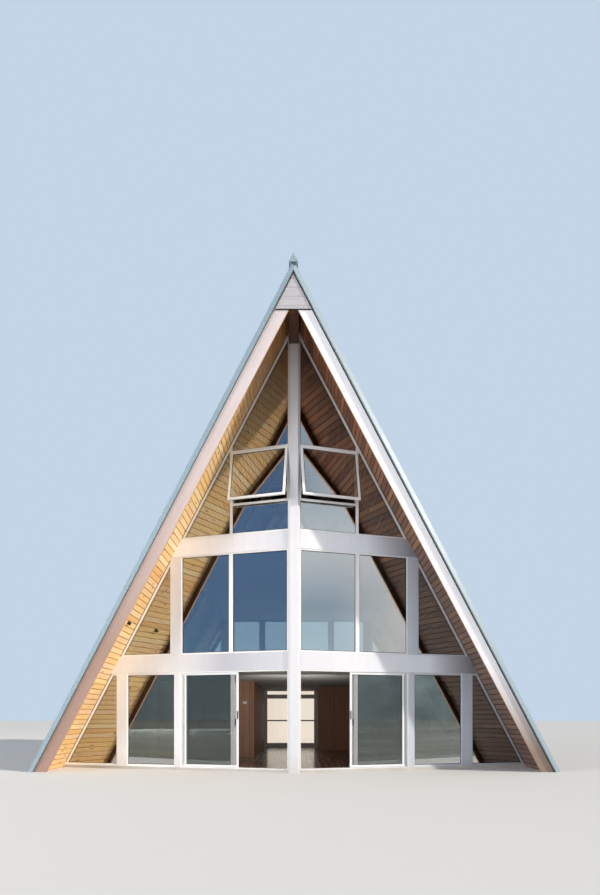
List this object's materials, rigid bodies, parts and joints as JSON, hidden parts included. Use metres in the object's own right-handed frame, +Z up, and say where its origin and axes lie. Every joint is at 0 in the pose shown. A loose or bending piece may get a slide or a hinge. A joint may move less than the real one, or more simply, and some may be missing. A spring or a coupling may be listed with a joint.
{
  "type": "a-frame cabin",
  "caption": "Tall A-frame cabin with a glazed prow front, leaning roof edges, sliding doors with screens, and open awning windows under the ridge.",
  "frame": {"origin": "centre of the bounding box's footprint, on the ground", "axes": "+Z up, -Y towards the glazed prow front, +X to the right as seen from the front"},
  "size_m": [10.936, 12.161, 9.5469],
  "materials": {
    "cedar_shingle": "weathered shingles",
    "cedar_board": "clear oiled boards",
    "dark_timber": "dark stain",
    "pine_floor": "sealed boards",
    "floor_board": "dark sealed boards",
    "rake_board": "pale bleached stain",
    "roof_trim": "pale grey matt",
    "peak_board": "pale grey paint",
    "wall_panel": "dark veneer",
    "white_timber": "white satin paint",
    "sill": "white satin paint",
    "white_frame": "white satin",
    "screen_frame": "white satin",
    "handle_metal": "dark satin",
    "glass": "clear"
  },
  "bodies": {
    "house": {"left_roof": "cedar_shingle", "right_roof": "cedar_shingle", "left_ceiling": "cedar_board", "right_ceiling": "cedar_board", "ridge_beam": "dark_timber", "ridge_cap": "roof_trim", "left_rake_trims": "roof_trim", "right_rake_trims": "roof_trim", "left_rake_boards": "rake_board", "right_rake_boards": "rake_board", "peak_panels": "peak_board", "rafters": "dark_timber", "collar_beams": "dark_timber", "ground_floor": "floor_board", "second_floor": "pine_floor", "third_floor": "pine_floor", "prow_post": "white_timber", "sills": "sill", "lower_bands": "white_timber", "upper_bands": "white_timber", "wall_posts": "white_timber", "left_ground_frames": "white_frame", "right_ground_frames": "white_frame", "left_second_frames": "white_frame", "right_second_frames": "white_frame", "left_third_frame": "white_frame", "right_third_frame": "white_frame", "ground_glass": "glass", "second_glass": "glass", "third_glass": "glass", "left_awning": "white_frame", "right_awning": "white_frame", "awning_glass": "glass", "back_bands": "white_timber", "back_posts": "white_timber", "back_frames": "white_frame", "back_glass": "glass", "left_partition": "wall_panel", "left_passage_wall": "wall_panel", "right_partition": "wall_panel", "right_passage_wall": "wall_panel"},
    "left_door": {"left_door": "white_frame", "left_door_glass": "glass", "left_door_handle": "handle_metal"},
    "right_door": {"right_door": "white_frame", "right_door_glass": "glass", "right_door_handle": "handle_metal"},
    "left_screen": {"left_screen": "screen_frame"},
    "right_screen": {"right_screen": "screen_frame"}
  },
  "joints": [
    {"name": "left_door_slide", "type": "slide", "parent": "house", "child": "left_door", "axis": [0.9632, -0.2689, 0], "range_m": [0, 1.096]},
    {"name": "right_door_slide", "type": "slide", "parent": "house", "child": "right_door", "axis": [-0.9632, -0.2689, 0], "range_m": [0, 1.096]},
    {"name": "left_screen_slide", "type": "slide", "parent": "house", "child": "left_screen", "axis": [0.9632, -0.2689, 0], "range_m": [0, 1.055]},
    {"name": "right_screen_slide", "type": "slide", "parent": "house", "child": "right_screen", "axis": [-0.9632, -0.2689, 0], "range_m": [0, 1.055]}
  ]
}
